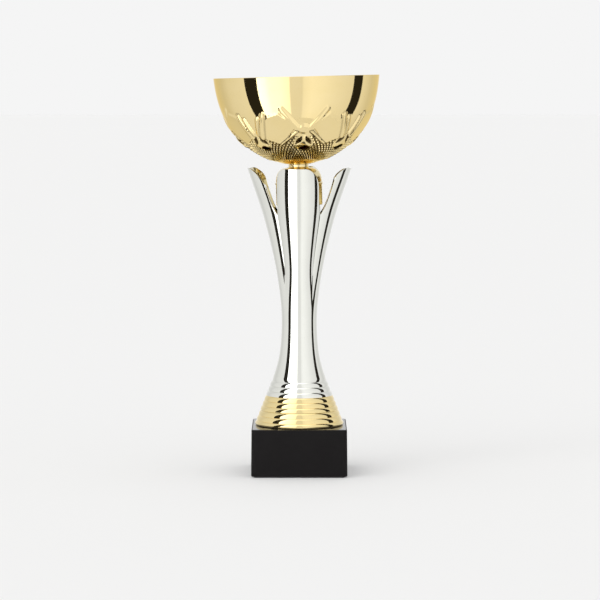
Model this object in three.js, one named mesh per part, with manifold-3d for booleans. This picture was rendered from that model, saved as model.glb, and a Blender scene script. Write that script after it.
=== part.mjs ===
// Cup trophy: a gold bowl on a gold holder, a silver stem that opens into four petals, two gold risers and a
// square black block, all clamped together by a threaded rod, a coupling nut and a bolt inside the bowl.
// Millimetres, +Z up. The origin is the centre of the underside, and the front faces -Y.
import * as THREE from 'three';
import { mergeVertices } from 'three/addons/utils/BufferGeometryUtils.js';
import Module from 'manifold-3d';

const wasm = await Module();
wasm.setup();

// ---------------------------------------------------------------- driving sizes

// Fits shared by the whole stack
const FIT_GAP = 0.3;            // gap between pieces that nest, or that rest on each other at a slant
const THREAD_DIAMETER = 6;      // M6 rod and bolt
const THREAD_GAP = 0.3;         // radial gap that stands for the thread
const HOLE_PLAY = 0.6;          // radial clearance of the holes that the rod and the bolt pass through

// Base
const BASE_WIDTH = 80;          // side of the square block at its foot
const BASE_HEIGHT = 40;         // floor to the block's top face
const BASE_DRAFT = 0.4;         // how far each side leans in over the height
const BASE_CORNER = 2.2;        // radius of the upright corners
const BASE_EDGE = 1.2;          // rounding of the top and bottom edges
const PAD_THICKNESS = 0.8;
const PAD_INSET = 2.5;          // from the block's side to the pad's side
const RECESS_DEPTH = 13;        // recess under the block for washer and nut
const RECESS_PLAY = 1.5;        // radial room round the washer, for a socket spanner

// Risers and the stem's ribbed foot, one even cone of stacked ribs
const RIB_PITCH = 4.15;
const RIBS_PER_TIER = 3;
const CONE_RADIUS = 37.3;       // at the block
const RIB_TURN = 44;            // degrees that the surface turns over one rib
const TIER_LIP = 0.3;           // how far a tier's foot overhangs the tier below
const FOOT_ROUNDING = 1.5;      // rounded foot of the lowest riser
const RISER_WALL = 2;
const SPIGOT_HEIGHT = 3;        // ring on each riser that centres the next piece

// Stem: radius over the petals' middles at even steps from the ribs to the tips, and how far the round
// section has drawn apart into four round lobes at the same steps (0 is a circle, and the lobes still meet
// up to 0.58)
const STEM_BODY_HEIGHT = 178.2;
const STEM_RADII = [22.8, 17.5, 15.2, 14.8, 16.2, 18.7, 22.2, 26.5, 31.5, 37.5, 43.6];
const STEM_CORNERING = [0, 0, 0, 0, 0.13, 0.31, 0.36, 0.37, 0.39, 0.47, 0.57];
const STEM_WALL = 1.8;
const STEM_TURN = -1.3;         // degrees about the upright axis
const PETAL_COUNT = 4;
const PETAL_LENGTH = 38.4;      // from the bottom of the slots to the tips
const PETAL_WIDTH = 34.8;
const PETAL_SHIFT = -0.5;       // along X, of the outlines of the front and the back petal
const PETAL_CORNER_RIGHT = [11, 16];    // width and height of a petal's top right corner, seen from outside
const PETAL_CORNER_LEFT = [6.5, 9];
const SLOT_FLARE_HEIGHT = 11;   // height over which a slot opens from its point to its full width
const FLOOR_DEPTH = 4;          // from the bottom of the slots down to the stem's inner floor
const FLOOR_THICKNESS = 2.5;

// Bowl and what holds it
const BOWL_LEAN = -1.4;         // degrees that holder and bowl lean, to the left
const BOWL_RADIUS = 69.2;
const BOWL_HEIGHT = 72.6;
const BOWL_WALL = 0.8;
const FLAT_MARGIN = 1.7;        // how far the bowl's flat spot reaches past the neck
const BOWL_FULLNESS = 5.1;      // exponents of the bowl's side, from the flat spot to the rim
const BOWL_ROUNDNESS = 1.3;
const HOLDER_RADIUS = 19.2;
const HOLDER_BEAD = 0.8;        // rolled edge that stands out round the skirt
const HOLDER_SKIRT = 18;        // height of the skirt under the dome
const HOLDER_DOME = 13;         // height of the dome
const HOLDER_WALL = 1.6;
const NECK_RADIUS = 8.3;
const NECK_HEIGHT = 3;
const NECK_FILLET = 1.2;        // hollow round between the neck and the dome
const NECK_SOLID = 9;           // depth of the solid plug below the neck's top
const NECK_NOTCHES = 8;
const NOTCH_SIZE = 1.1;
const SLEEVE_WALL = 1.8;        // tube inside the holder that stands on the stem's floor
const SLEEVE_PLAY = 1;          // between that tube and the washer and nut inside it
const NECK_ABOVE_TIPS = 2.9;    // from the petals' tips up to the top of the neck

// Fasteners
const NUT_ACROSS_FLATS = 10;
const NUT_HEIGHT = 5;
const COUPLING_HEIGHT = 20;
const WASHER_RADIUS = 6;
const WASHER_THICKNESS = 1.6;
const BASE_WASHER_RADIUS = 9.5;
const LOCK_WASHER_RADIUS = 5.5;
const LOCK_WASHER_THICKNESS = 1.6;
const LOCK_WASHER_SPLIT = 1;
const GASKET_MARGIN = 1.4;      // how far the gasket stays inside the bowl's flat spot
const GASKET_THICKNESS = 1;
const BOWL_WASHER_MARGIN = 0.6; // how far the bowl's washer stays inside the gasket
const BOLT_HEAD_HEIGHT = 4;
const ROD_BELOW_NUT = 2;
const ROD_ENGAGEMENT = 9;       // length of rod inside the coupling nut
const BOLT_ENGAGEMENT = 7;      // length of bolt inside the coupling nut

// Smoothness
const ROUND_STEPS = 48;         // sides of the large round pieces
const HOLDER_STEPS = 32;        // sides of the holder
const SMALL_STEPS = 24;         // sides of washers and rods
const RIB_STEPS = 3;            // straight pieces along one rib's arc
const BOWL_STEPS = 13;          // straight pieces along the bowl's side
const BODY_STEPS = 18;          // straight pieces along the stem's outside
const BORE_STEPS = 9;           // straight pieces along each of its two hollows
const DOME_STEPS = 5;           // straight pieces along the holder's dome
const FILLET_STEPS = 3;         // straight pieces along the round under its neck

// ---------------------------------------------------------------- heights that follow from the sizes

const TIER_HEIGHT = RIB_PITCH * RIBS_PER_TIER;
const RISER_JOINT = BASE_HEIGHT + TIER_HEIGHT;
const STEM_FOOT = RISER_JOINT + TIER_HEIGHT;
const STEM_BODY = STEM_FOOT + TIER_HEIGHT;
const PETAL_TIPS = STEM_BODY + STEM_BODY_HEIGHT;
const SLOT_BOTTOM = PETAL_TIPS - PETAL_LENGTH;
const FLOOR_TOP = SLOT_BOTTOM - FLOOR_DEPTH;
const COUPLING_BOTTOM = FLOOR_TOP + WASHER_THICKNESS;
const COUPLING_TOP = COUPLING_BOTTOM + COUPLING_HEIGHT;
const BOLT_TIP = COUPLING_TOP - BOLT_ENGAGEMENT;
const LEAN_PIVOT = COUPLING_TOP - BOLT_ENGAGEMENT / 2;
const NECK_TOP = PETAL_TIPS + NECK_ABOVE_TIPS;
const BOWL_SEAT = NECK_TOP + FIT_GAP;
const GASKET_BOTTOM = BOWL_SEAT + BOWL_WALL + FIT_GAP;
const BOWL_WASHER_BOTTOM = GASKET_BOTTOM + GASKET_THICKNESS + FIT_GAP;
const BOLT_HEAD_BOTTOM = BOWL_WASHER_BOTTOM + WASHER_THICKNESS + FIT_GAP;
const RECESS_TOP = PAD_THICKNESS + RECESS_DEPTH;
const BASE_NUT_TOP = RECESS_TOP - WASHER_THICKNESS - LOCK_WASHER_THICKNESS;
const ROD_BOTTOM = BASE_NUT_TOP - NUT_HEIGHT - ROD_BELOW_NUT;
const ROD_TOP = COUPLING_BOTTOM + ROD_ENGAGEMENT;

const THREAD_RADIUS = THREAD_DIAMETER / 2;
const THREAD_BORE = THREAD_RADIUS + THREAD_GAP;
const HOLE_RADIUS = THREAD_RADIUS + HOLE_PLAY;
const NUT_CORNER = NUT_ACROSS_FLATS / 2 / Math.cos(Math.PI / 6);
const SLEEVE_INNER = Math.max(WASHER_RADIUS, NUT_CORNER) + SLEEVE_PLAY;
const SLEEVE_OUTER = SLEEVE_INNER + SLEEVE_WALL;
const RECESS_RADIUS = Math.max(BASE_WASHER_RADIUS, NUT_CORNER) + RECESS_PLAY;
const BOWL_FLAT = NECK_RADIUS + FLAT_MARGIN;
const GASKET_RADIUS = BOWL_FLAT - GASKET_MARGIN;
const BOWL_WASHER_RADIUS = GASKET_RADIUS - BOWL_WASHER_MARGIN;
const RIB_FLARE = (CONE_RADIUS - STEM_RADII[0]) / (3 * RIBS_PER_TIER);

// ---------------------------------------------------------------- materials

function finish(colour, roughness, metalness) {
  return new THREE.MeshStandardMaterial({ color: colour, roughness, metalness });
}

const goldPlastic = () => finish(0xe3c57a, 0.12, 1);
const goldPlate = () => finish(0xe8ca7e, 0.08, 1);
const silverPlastic = () => finish(0xdcdcd4, 0.1, 1);
const blackPlastic = () => finish(0x1c1b1c, 0.3, 0);
const zincSteel = () => finish(0xb4b6b8, 0.35, 1);
const redFibre = () => finish(0x7a3b2a, 0.9, 0);
const blackFelt = () => finish(0x1a1a1b, 1, 0);

// ---------------------------------------------------------------- solids

// A closed geometry becomes a manifold solid once its shared vertices are merged.
function toSolid(geometry) {
  const bare = geometry.clone();
  bare.deleteAttribute('normal');
  bare.deleteAttribute('uv');
  const merged = mergeVertices(bare, 1e-4);
  return new wasm.Manifold(new wasm.Mesh({
    numProp: 3,
    vertProperties: merged.attributes.position.array,
    triVerts: new Uint32Array(merged.index.array),
  }));
}

function toGeometry(solid) {
  const mesh = solid.getMesh();
  const geometry = new THREE.BufferGeometry();
  geometry.setAttribute('position', new THREE.BufferAttribute(mesh.vertProperties, 3));
  geometry.setIndex(new THREE.BufferAttribute(mesh.triVerts, 1));
  geometry.computeVertexNormals();
  return geometry;
}

// Turns an outline of [radius, height] points round the upright axis. The outline closes on itself and runs
// up on the outside.
function turned(outline, steps = ROUND_STEPS) {
  const points = outline.map(([radius, height]) => new THREE.Vector2(radius, height));
  points.push(points[0].clone());
  return new THREE.LatheGeometry(points, steps).rotateX(Math.PI / 2);
}

function upright(radius, bottom, top, steps = SMALL_STEPS) {
  return new THREE.CylinderGeometry(radius, radius, top - bottom, steps)
    .rotateX(Math.PI / 2)
    .translate(0, 0, (bottom + top) / 2);
}

function ring(inner, outer, bottom, top, steps = SMALL_STEPS) {
  return turned([[outer, bottom], [outer, top], [inner, top], [inner, bottom]], steps);
}

function hexagon(bottom, top) {
  return upright(NUT_CORNER, bottom, top, 6);
}

function named(name, geometry, material) {
  const mesh = new THREE.Mesh(geometry, material);
  mesh.name = name;
  return mesh;
}

const degrees = (angle) => THREE.MathUtils.degToRad(angle);

// ---------------------------------------------------------------- base

function roundedSquare(width, corner) {
  const half = width / 2;
  const shape = new THREE.Shape();
  shape.moveTo(-half + corner, -half);
  shape.lineTo(half - corner, -half);
  shape.absarc(half - corner, -half + corner, corner, -Math.PI / 2, 0);
  shape.lineTo(half, half - corner);
  shape.absarc(half - corner, half - corner, corner, 0, Math.PI / 2);
  shape.lineTo(-half + corner, half);
  shape.absarc(-half + corner, half - corner, corner, Math.PI / 2, Math.PI);
  shape.lineTo(-half, -half + corner);
  shape.absarc(-half + corner, -half + corner, corner, Math.PI, Math.PI * 1.5);
  return shape;
}

function basePad() {
  const shape = roundedSquare(BASE_WIDTH - 2 * PAD_INSET, BASE_CORNER);
  const sheet = new THREE.ExtrudeGeometry(shape, {
    depth: PAD_THICKNESS,
    bevelEnabled: false,
    curveSegments: 4,
  });
  return named('base_pad', sheet, blackFelt());
}

function baseBlock() {
  const height = BASE_HEIGHT - PAD_THICKNESS;
  const shape = roundedSquare(BASE_WIDTH - 2 * BASE_EDGE, BASE_CORNER);
  const block = new THREE.ExtrudeGeometry(shape, {
    depth: height - 2 * BASE_EDGE,
    bevelThickness: BASE_EDGE,
    bevelSize: BASE_EDGE,
    bevelSegments: 3,
    curveSegments: 4,
  });
  block.translate(0, 0, PAD_THICKNESS + BASE_EDGE);
  const position = block.attributes.position;
  for (let i = 0; i < position.count; i += 1) {
    const lean = 1 - (2 * BASE_DRAFT / BASE_WIDTH) * (position.getZ(i) - PAD_THICKNESS) / height;
    position.setXY(i, position.getX(i) * lean, position.getY(i) * lean);
  }
  const hole = upright(HOLE_RADIUS, -1, BASE_HEIGHT + 1);
  const recess = upright(RECESS_RADIUS, -1, RECESS_TOP);
  const solid = toSolid(block).subtract(toSolid(hole)).subtract(toSolid(recess));
  return named('base_block', toGeometry(solid), blackPlastic());
}

// ---------------------------------------------------------------- ribbed tiers

// Radius of the cone that carries the ribs, a number of ribs above the block.
function coneRadius(ribsUp) {
  return CONE_RADIUS - RIB_FLARE * ribsUp;
}

// The outside of one tier of ribs, from its foot to its top: each rib is an arc that stands upright at its
// foot and leans in towards its top.
function ribbedSide(firstRib, bottom) {
  const side = [];
  const arc = degrees(RIB_TURN);
  for (let rib = 0; rib < RIBS_PER_TIER; rib += 1) {
    const foot = coneRadius(firstRib + rib) + TIER_LIP / 2;
    const head = coneRadius(firstRib + rib + 1) - TIER_LIP / 2;
    for (let step = 0; step <= RIB_STEPS; step += 1) {
      const turn = arc * step / RIB_STEPS;
      const rise = Math.sin(turn) / Math.sin(arc);
      const lean = (1 - Math.cos(turn)) / (1 - Math.cos(arc));
      side.push([foot + (head - foot) * lean, bottom + RIB_PITCH * (rib + rise)]);
    }
  }
  return side;
}

// A quarter round from a piece's underside out to its side.
function roundedFoot(radius, bottom, rounding) {
  const points = [];
  for (let step = 0; rounding > 0 && step < RIB_STEPS; step += 1) {
    const turn = (Math.PI / 2) * step / RIB_STEPS;
    points.push([radius - rounding * (1 - Math.sin(turn)), bottom + rounding * (1 - Math.cos(turn))]);
  }
  return points;
}

// Inside radius of a hollow tier at a height above its foot.
function tierInside(firstRib, aboveFoot) {
  return coneRadius(firstRib + aboveFoot / RIB_PITCH) - RISER_WALL;
}

// The spigot under a piece stays clear of that piece's narrowing inside.
function spigotRadius(firstRib) {
  return tierInside(firstRib, SPIGOT_HEIGHT) - FIT_GAP;
}

// A hollow gold ring. Where its foot is rounded, the rounding takes the place of the first rib's lowest part.
function riser(name, firstRib, bottom, footRounding) {
  const top = bottom + TIER_HEIGHT;
  const deck = top - RISER_WALL;
  const spigot = spigotRadius(firstRib + RIBS_PER_TIER);
  const foot = roundedFoot(coneRadius(firstRib) + TIER_LIP / 2, bottom, footRounding);
  const side = ribbedSide(firstRib, bottom).filter(([, height]) => height >= bottom + footRounding);
  const outline = [
    ...foot,
    ...side,
    [spigot, top],
    [spigot, top + SPIGOT_HEIGHT],
    [spigot - RISER_WALL, top + SPIGOT_HEIGHT],
    [spigot - RISER_WALL, top],
    [HOLE_RADIUS, top],
    [HOLE_RADIUS, deck],
    [tierInside(firstRib, TIER_HEIGHT - RISER_WALL), deck],
    [tierInside(firstRib, 0), bottom],
  ];
  return named(name, turned(outline), goldPlastic());
}

// ---------------------------------------------------------------- stem

const stemOutline = new THREE.SplineCurve(STEM_RADII.map((radius, i) => (
  new THREE.Vector2(i / (STEM_RADII.length - 1), radius)
)));
const stemCornering = new THREE.SplineCurve(STEM_CORNERING.map((amount, i) => (
  new THREE.Vector2(i / (STEM_CORNERING.length - 1), amount)
)));

// How far up the stem's body a height is, from 0 at the ribs to 1 at the petals' tips.
function bodyShare(height) {
  return THREE.MathUtils.clamp((height - STEM_BODY) / STEM_BODY_HEIGHT, 0, 1);
}

function stemRadius(height) {
  return stemOutline.getPoint(bodyShare(height)).y;
}

// The section is four round lobes that meet in creases, each under the middle of a petal. This is the share
// of the radius over a lobe's middle that is left at an angle from it.
function sectionShare(angle, height) {
  const cornering = THREE.MathUtils.clamp(stemCornering.getPoint(bodyShare(height)).y, 0, 1);
  const rounding = 1 - cornering;
  return cornering * Math.cos(angle) + Math.sqrt(rounding ** 2 - (cornering * Math.sin(angle)) ** 2);
}

// Turns a round body into the four-lobed one by moving each point in or out.
function lobed(geometry) {
  const position = geometry.attributes.position;
  const pitch = 2 * Math.PI / PETAL_COUNT;
  for (let i = 0; i < position.count; i += 1) {
    const angle = Math.atan2(position.getY(i), position.getX(i));
    const fromMiddle = Math.abs(angle - pitch * Math.round(angle / pitch));
    const share = sectionShare(fromMiddle, position.getZ(i));
    position.setXY(i, position.getX(i) * share, position.getY(i) * share);
  }
  return geometry;
}

// The whole stem before its slots are cut: the ribbed foot, the body and the floor inside it, which has a
// pilot hole that is drilled out later.
function stemShell() {
  const floorBottom = FLOOR_TOP - FLOOR_THICKNESS;
  const outside = ribbedSide(2 * RIBS_PER_TIER, STEM_FOOT);
  for (let step = 1; step <= BODY_STEPS; step += 1) {
    const height = STEM_BODY + STEM_BODY_HEIGHT * step / BODY_STEPS;
    outside.push([stemRadius(height), height]);
  }
  const inside = [];
  for (let step = 0; step <= BORE_STEPS; step += 1) {
    const height = PETAL_TIPS + (FLOOR_TOP - PETAL_TIPS) * step / BORE_STEPS;
    inside.push([stemRadius(height) - STEM_WALL, height]);
  }
  inside.push([THREAD_RADIUS, FLOOR_TOP]);
  inside.push([THREAD_RADIUS, floorBottom]);
  for (let step = 0; step < BORE_STEPS; step += 1) {
    const height = floorBottom + (STEM_BODY - floorBottom) * step / BORE_STEPS;
    inside.push([stemRadius(height) - STEM_WALL, height]);
  }
  inside.push([tierInside(2 * RIBS_PER_TIER, TIER_HEIGHT), STEM_BODY]);
  inside.push([tierInside(2 * RIBS_PER_TIER, 0), STEM_FOOT]);
  return lobed(turned([...outside, ...inside]));
}

// A petal seen from the front: a point at the slots' bottom on each side, nearly upright sides and a flat top
// with rounded corners. It is cut out right through the shell.
function petalBlank(shift) {
  const right = shift + PETAL_WIDTH / 2;
  const left = shift - PETAL_WIDTH / 2;
  const [rightWidth, rightHeight] = PETAL_CORNER_RIGHT;
  const [leftWidth, leftHeight] = PETAL_CORNER_LEFT;
  const slotBottomRadius = stemRadius(SLOT_BOTTOM) * sectionShare(Math.PI / PETAL_COUNT, SLOT_BOTTOM);
  const foot = slotBottomRadius * Math.cos(Math.PI / PETAL_COUNT);
  const shape = new THREE.Shape();
  shape.moveTo(-foot, SLOT_BOTTOM);
  shape.lineTo(foot, SLOT_BOTTOM);
  shape.quadraticCurveTo(right, SLOT_BOTTOM + SLOT_FLARE_HEIGHT / 3, right, SLOT_BOTTOM + SLOT_FLARE_HEIGHT);
  shape.lineTo(right, PETAL_TIPS - rightHeight);
  shape.absellipse(right - rightWidth, PETAL_TIPS - rightHeight, rightWidth, rightHeight, 0, Math.PI / 2);
  shape.lineTo(left + leftWidth, PETAL_TIPS);
  shape.absellipse(left + leftWidth, PETAL_TIPS - leftHeight, leftWidth, leftHeight, Math.PI / 2, Math.PI);
  shape.lineTo(left, SLOT_BOTTOM + SLOT_FLARE_HEIGHT);
  shape.quadraticCurveTo(left, SLOT_BOTTOM + SLOT_FLARE_HEIGHT / 3, -foot, SLOT_BOTTOM);
  const reach = 2 * STEM_RADII.at(-1);
  return new THREE.ExtrudeGeometry(shape, { depth: reach, bevelEnabled: false, curveSegments: 8 })
    .rotateX(Math.PI / 2);
}

function stem() {
  const reach = 2 * STEM_RADII.at(-1);
  let keep = toSolid(upright(reach, STEM_FOOT - 1, SLOT_BOTTOM));
  for (let petal = 0; petal < PETAL_COUNT; petal += 1) {
    const turn = petal * 2 * Math.PI / PETAL_COUNT;
    keep = keep.add(toSolid(petalBlank(PETAL_SHIFT * Math.cos(turn)).rotateZ(turn)));
  }
  const hole = toSolid(upright(HOLE_RADIUS, FLOOR_TOP - 2 * FLOOR_THICKNESS, FLOOR_TOP + FLOOR_THICKNESS));
  const shell = toSolid(stemShell()).intersect(keep).subtract(hole);
  const mesh = named('stem', toGeometry(shell), silverPlastic());
  mesh.rotation.z = degrees(STEM_TURN);
  return mesh;
}

// ---------------------------------------------------------------- holder and bowl

function bowlHolder() {
  const domeTop = NECK_TOP - NECK_HEIGHT;
  const beadTop = domeTop - HOLDER_DOME;
  const skirtBottom = beadTop - HOLDER_SKIRT;
  const leanDrop = SLEEVE_OUTER * Math.sin(degrees(Math.abs(BOWL_LEAN)));
  const sleeveBottom = FLOOR_TOP + FIT_GAP + leanDrop;
  const dome = (shrink) => new THREE.QuadraticBezierCurve(
    new THREE.Vector2(HOLDER_RADIUS - shrink, beadTop + 1),
    new THREE.Vector2(HOLDER_RADIUS - shrink, domeTop - shrink),
    new THREE.Vector2(NECK_RADIUS + NECK_FILLET - shrink, domeTop - shrink),
  ).getPoints(DOME_STEPS).map(({ x, y }) => [x, y]);
  const fillet = [];
  for (let step = 1; step <= FILLET_STEPS; step += 1) {
    const turn = (Math.PI / 2) * step / FILLET_STEPS;
    fillet.push([
      NECK_RADIUS + NECK_FILLET * (1 - Math.sin(turn)),
      domeTop + NECK_FILLET * (1 - Math.cos(turn)),
    ]);
  }
  const outline = [
    [HOLDER_RADIUS, skirtBottom],
    [HOLDER_RADIUS, beadTop - 1],
    [HOLDER_RADIUS + HOLDER_BEAD, beadTop - 0.5],
    [HOLDER_RADIUS + HOLDER_BEAD, beadTop + 0.5],
    ...dome(0),
    ...fillet,
    [NECK_RADIUS, NECK_TOP],
    [HOLE_RADIUS, NECK_TOP],
    [HOLE_RADIUS, NECK_TOP - NECK_SOLID],
    [SLEEVE_INNER, NECK_TOP - NECK_SOLID],
    [SLEEVE_INNER, sleeveBottom],
    [SLEEVE_OUTER, sleeveBottom],
    [SLEEVE_OUTER, domeTop - HOLDER_WALL],
    ...dome(HOLDER_WALL).reverse(),
    [HOLDER_RADIUS - HOLDER_WALL, skirtBottom],
  ];
  let solid = toSolid(turned(outline, HOLDER_STEPS));
  for (let notch = 0; notch < NECK_NOTCHES; notch += 1) {
    const cut = new THREE.BoxGeometry(NOTCH_SIZE, NOTCH_SIZE * 2, NOTCH_SIZE * 2)
      .translate(0, -NECK_RADIUS, NECK_TOP)
      .rotateZ(notch * 2 * Math.PI / NECK_NOTCHES);
    solid = solid.subtract(toSolid(cut));
  }
  return named('bowl_holder', toGeometry(solid), goldPlastic());
}

// Radius of the bowl's outside at a height above its flat spot.
function bowlRadius(height) {
  const fill = (level) => (1 - (1 - level / 2) ** BOWL_FULLNESS) ** (1 / BOWL_ROUNDNESS);
  return BOWL_FLAT + (BOWL_RADIUS - BOWL_FLAT) * fill(height / BOWL_HEIGHT) / fill(1);
}

function bowl() {
  const outside = [];
  for (let step = 0; step <= BOWL_STEPS; step += 1) {
    const height = BOWL_HEIGHT * (step / BOWL_STEPS) ** 2;
    outside.push(new THREE.Vector2(bowlRadius(height), height));
  }
  // The inside is the outside moved in by the wall, square to the surface.
  const inside = outside.map((point, i) => {
    const before = outside[Math.max(i - 1, 0)];
    const after = outside[Math.min(i + 1, BOWL_STEPS)];
    const along = after.clone().sub(before).normalize();
    return new THREE.Vector2(point.x - along.y * BOWL_WALL, point.y + along.x * BOWL_WALL);
  });
  inside[0].y = BOWL_WALL;
  inside[BOWL_STEPS].y = BOWL_HEIGHT;
  const outline = [
    [HOLE_RADIUS, 0],
    ...outside.map(({ x, y }) => [x, y]),
    ...inside.reverse().map(({ x, y }) => [x, y]),
    [HOLE_RADIUS, BOWL_WALL],
  ];
  return named('bowl', turned(outline).translate(0, 0, BOWL_SEAT), goldPlate());
}

// ---------------------------------------------------------------- fasteners

function threadedHexagon(name, bottom, top) {
  const solid = toSolid(hexagon(bottom, top))
    .subtract(toSolid(upright(THREAD_BORE, bottom - 1, top + 1)));
  return named(name, toGeometry(solid), zincSteel());
}

function washer(name, radius, bottom, thickness, material) {
  return named(name, ring(HOLE_RADIUS, radius, bottom, bottom + thickness), material);
}

function lockWasher() {
  const top = BASE_NUT_TOP + LOCK_WASHER_THICKNESS;
  const solid = toSolid(ring(HOLE_RADIUS, LOCK_WASHER_RADIUS, BASE_NUT_TOP, top));
  const split = new THREE.BoxGeometry(LOCK_WASHER_SPLIT, 2 * LOCK_WASHER_RADIUS, 4 * LOCK_WASHER_THICKNESS)
    .translate(0, -LOCK_WASHER_RADIUS, BASE_NUT_TOP);
  return named('base_lock_washer', toGeometry(solid.subtract(toSolid(split))), zincSteel());
}

function tieRod() {
  return named('tie_rod', upright(THREAD_RADIUS, ROD_BOTTOM, ROD_TOP), zincSteel());
}

function bowlBolt() {
  const head = hexagon(BOLT_HEAD_BOTTOM, BOLT_HEAD_BOTTOM + BOLT_HEAD_HEIGHT);
  const shank = upright(THREAD_RADIUS, BOLT_TIP, BOLT_HEAD_BOTTOM + 1);
  return named('bowl_bolt', toGeometry(toSolid(head).add(toSolid(shank))), zincSteel());
}

// ---------------------------------------------------------------- assembly

// What stands on the bolt leans a little about the middle of the bolt's thread.
function leaningGroup(...pieces) {
  const lean = new THREE.Group();
  lean.position.z = LEAN_PIVOT;
  lean.rotation.y = degrees(BOWL_LEAN);
  for (const piece of pieces) {
    piece.position.z -= LEAN_PIVOT;
    lean.add(piece);
  }
  return lean;
}

const trophy = new THREE.Group();
trophy.add(
  basePad(),
  baseBlock(),
  washer('base_washer', BASE_WASHER_RADIUS, RECESS_TOP - WASHER_THICKNESS, WASHER_THICKNESS, zincSteel()),
  lockWasher(),
  threadedHexagon('base_nut', BASE_NUT_TOP - NUT_HEIGHT, BASE_NUT_TOP),
  tieRod(),
  riser('riser_lower', 0, BASE_HEIGHT, FOOT_ROUNDING),
  riser('riser_upper', RIBS_PER_TIER, RISER_JOINT, 0),
  stem(),
  washer('stem_washer', WASHER_RADIUS, FLOOR_TOP, WASHER_THICKNESS, zincSteel()),
  threadedHexagon('coupling_nut', COUPLING_BOTTOM, COUPLING_TOP),
  leaningGroup(
    bowlHolder(),
    bowl(),
    washer('bowl_gasket', GASKET_RADIUS, GASKET_BOTTOM, GASKET_THICKNESS, redFibre()),
    washer('bowl_washer', BOWL_WASHER_RADIUS, BOWL_WASHER_BOTTOM, WASHER_THICKNESS, zincSteel()),
    bowlBolt(),
  ),
);

export default trophy;
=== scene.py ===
"""Cup trophy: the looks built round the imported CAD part.

A gold-plated bowl with a pressed pattern, a metallised silver stem that opens into four petals, two ribbed
gold risers and a black block. Sizes are in millimetres, and turn into metres when a mesh is made.
"""

import math

import bmesh
import bpy
import numpy as np
from mathutils import Matrix, Vector

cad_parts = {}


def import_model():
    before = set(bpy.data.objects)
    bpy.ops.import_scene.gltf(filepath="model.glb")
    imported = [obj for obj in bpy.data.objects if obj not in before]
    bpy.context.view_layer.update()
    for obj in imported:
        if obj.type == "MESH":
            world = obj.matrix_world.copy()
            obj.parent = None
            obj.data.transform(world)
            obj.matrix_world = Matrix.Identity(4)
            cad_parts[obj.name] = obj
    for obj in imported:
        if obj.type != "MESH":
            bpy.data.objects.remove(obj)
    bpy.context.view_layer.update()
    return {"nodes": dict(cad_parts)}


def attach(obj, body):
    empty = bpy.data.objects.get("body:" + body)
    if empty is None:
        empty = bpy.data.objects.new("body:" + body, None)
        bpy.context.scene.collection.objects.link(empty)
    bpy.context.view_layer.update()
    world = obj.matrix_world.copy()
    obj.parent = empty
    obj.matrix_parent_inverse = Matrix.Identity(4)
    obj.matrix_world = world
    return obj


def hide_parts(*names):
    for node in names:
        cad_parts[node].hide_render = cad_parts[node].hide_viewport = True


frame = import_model()

# ---------------------------------------------------------------- sizes, as in the CAD part

BASE_WIDTH = 80
BASE_HEIGHT = 40
BASE_DRAFT = 0.4
BASE_CORNER = 2.2
BASE_EDGE = 1.2
RECESS_RADIUS = 11
RECESS_DEPTH = 13
PAD_THICKNESS = 0.8
RIB_PITCH = 4.15
RIBS_PER_TIER = 3
CONE_RADIUS = 37.3
RIB_TURN = math.radians(44)
TIER_LIP = 0.3
FOOT_ROUNDING = 1.5
RISER_WALL = 2
SPIGOT_HEIGHT = 3
FIT_GAP = 0.3
STEM_BODY_HEIGHT = 178.2
STEM_RADII = [22.8, 17.5, 15.2, 14.8, 16.2, 18.7, 22.2, 26.5, 31.5, 37.5, 43.6]
STEM_CORNERING = [0, 0, 0, 0, 0.13, 0.31, 0.36, 0.37, 0.39, 0.47, 0.57]
STEM_WALL = 1.8
STEM_TURN = math.radians(-1.3)
PETALS = 4
PETAL_LENGTH = 38.4
PETAL_WIDTH = 34.8
PETAL_SHIFT = -0.5
PETAL_CORNER_RIGHT = (11, 16)  # width and height of a petal's top right corner, seen from outside
PETAL_CORNER_LEFT = (6.5, 9)
SLOT_FLARE_HEIGHT = 11
FLOOR_DEPTH = 4
FLOOR_THICKNESS = 2.5
BOWL_LEAN = math.radians(-1.4)
BOWL_RADIUS = 69.2
BOWL_HEIGHT = 72.6
BOWL_WALL = 0.8
BOWL_FULLNESS = 5.1
BOWL_ROUNDNESS = 1.3
HOLDER_RADIUS = 19.2
HOLDER_BEAD = 0.8
HOLDER_SKIRT = 18
HOLDER_DOME = 13
HOLDER_WALL = 1.6
NECK_RADIUS = 8.3
NECK_HEIGHT = 3
NECK_SOLID = 9
NECK_FILLET = 1.2
NECK_NOTCHES = 8
NOTCH_SIZE = 1.1
NECK_ABOVE_TIPS = 2.9
SLEEVE_INNER = 7
SLEEVE_OUTER = 8.8
THREAD_RADIUS = 3
HOLE_RADIUS = 3.6
NUT_ACROSS_FLATS = 10
BOLT_HEAD_HEIGHT = 4
WASHER_THICKNESS = 1.6
GASKET_THICKNESS = 1
GASKET_RADIUS = 8.6
BOWL_WASHER_RADIUS = 8
COUPLING_HEIGHT = 20
BOLT_ENGAGEMENT = 7

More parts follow.
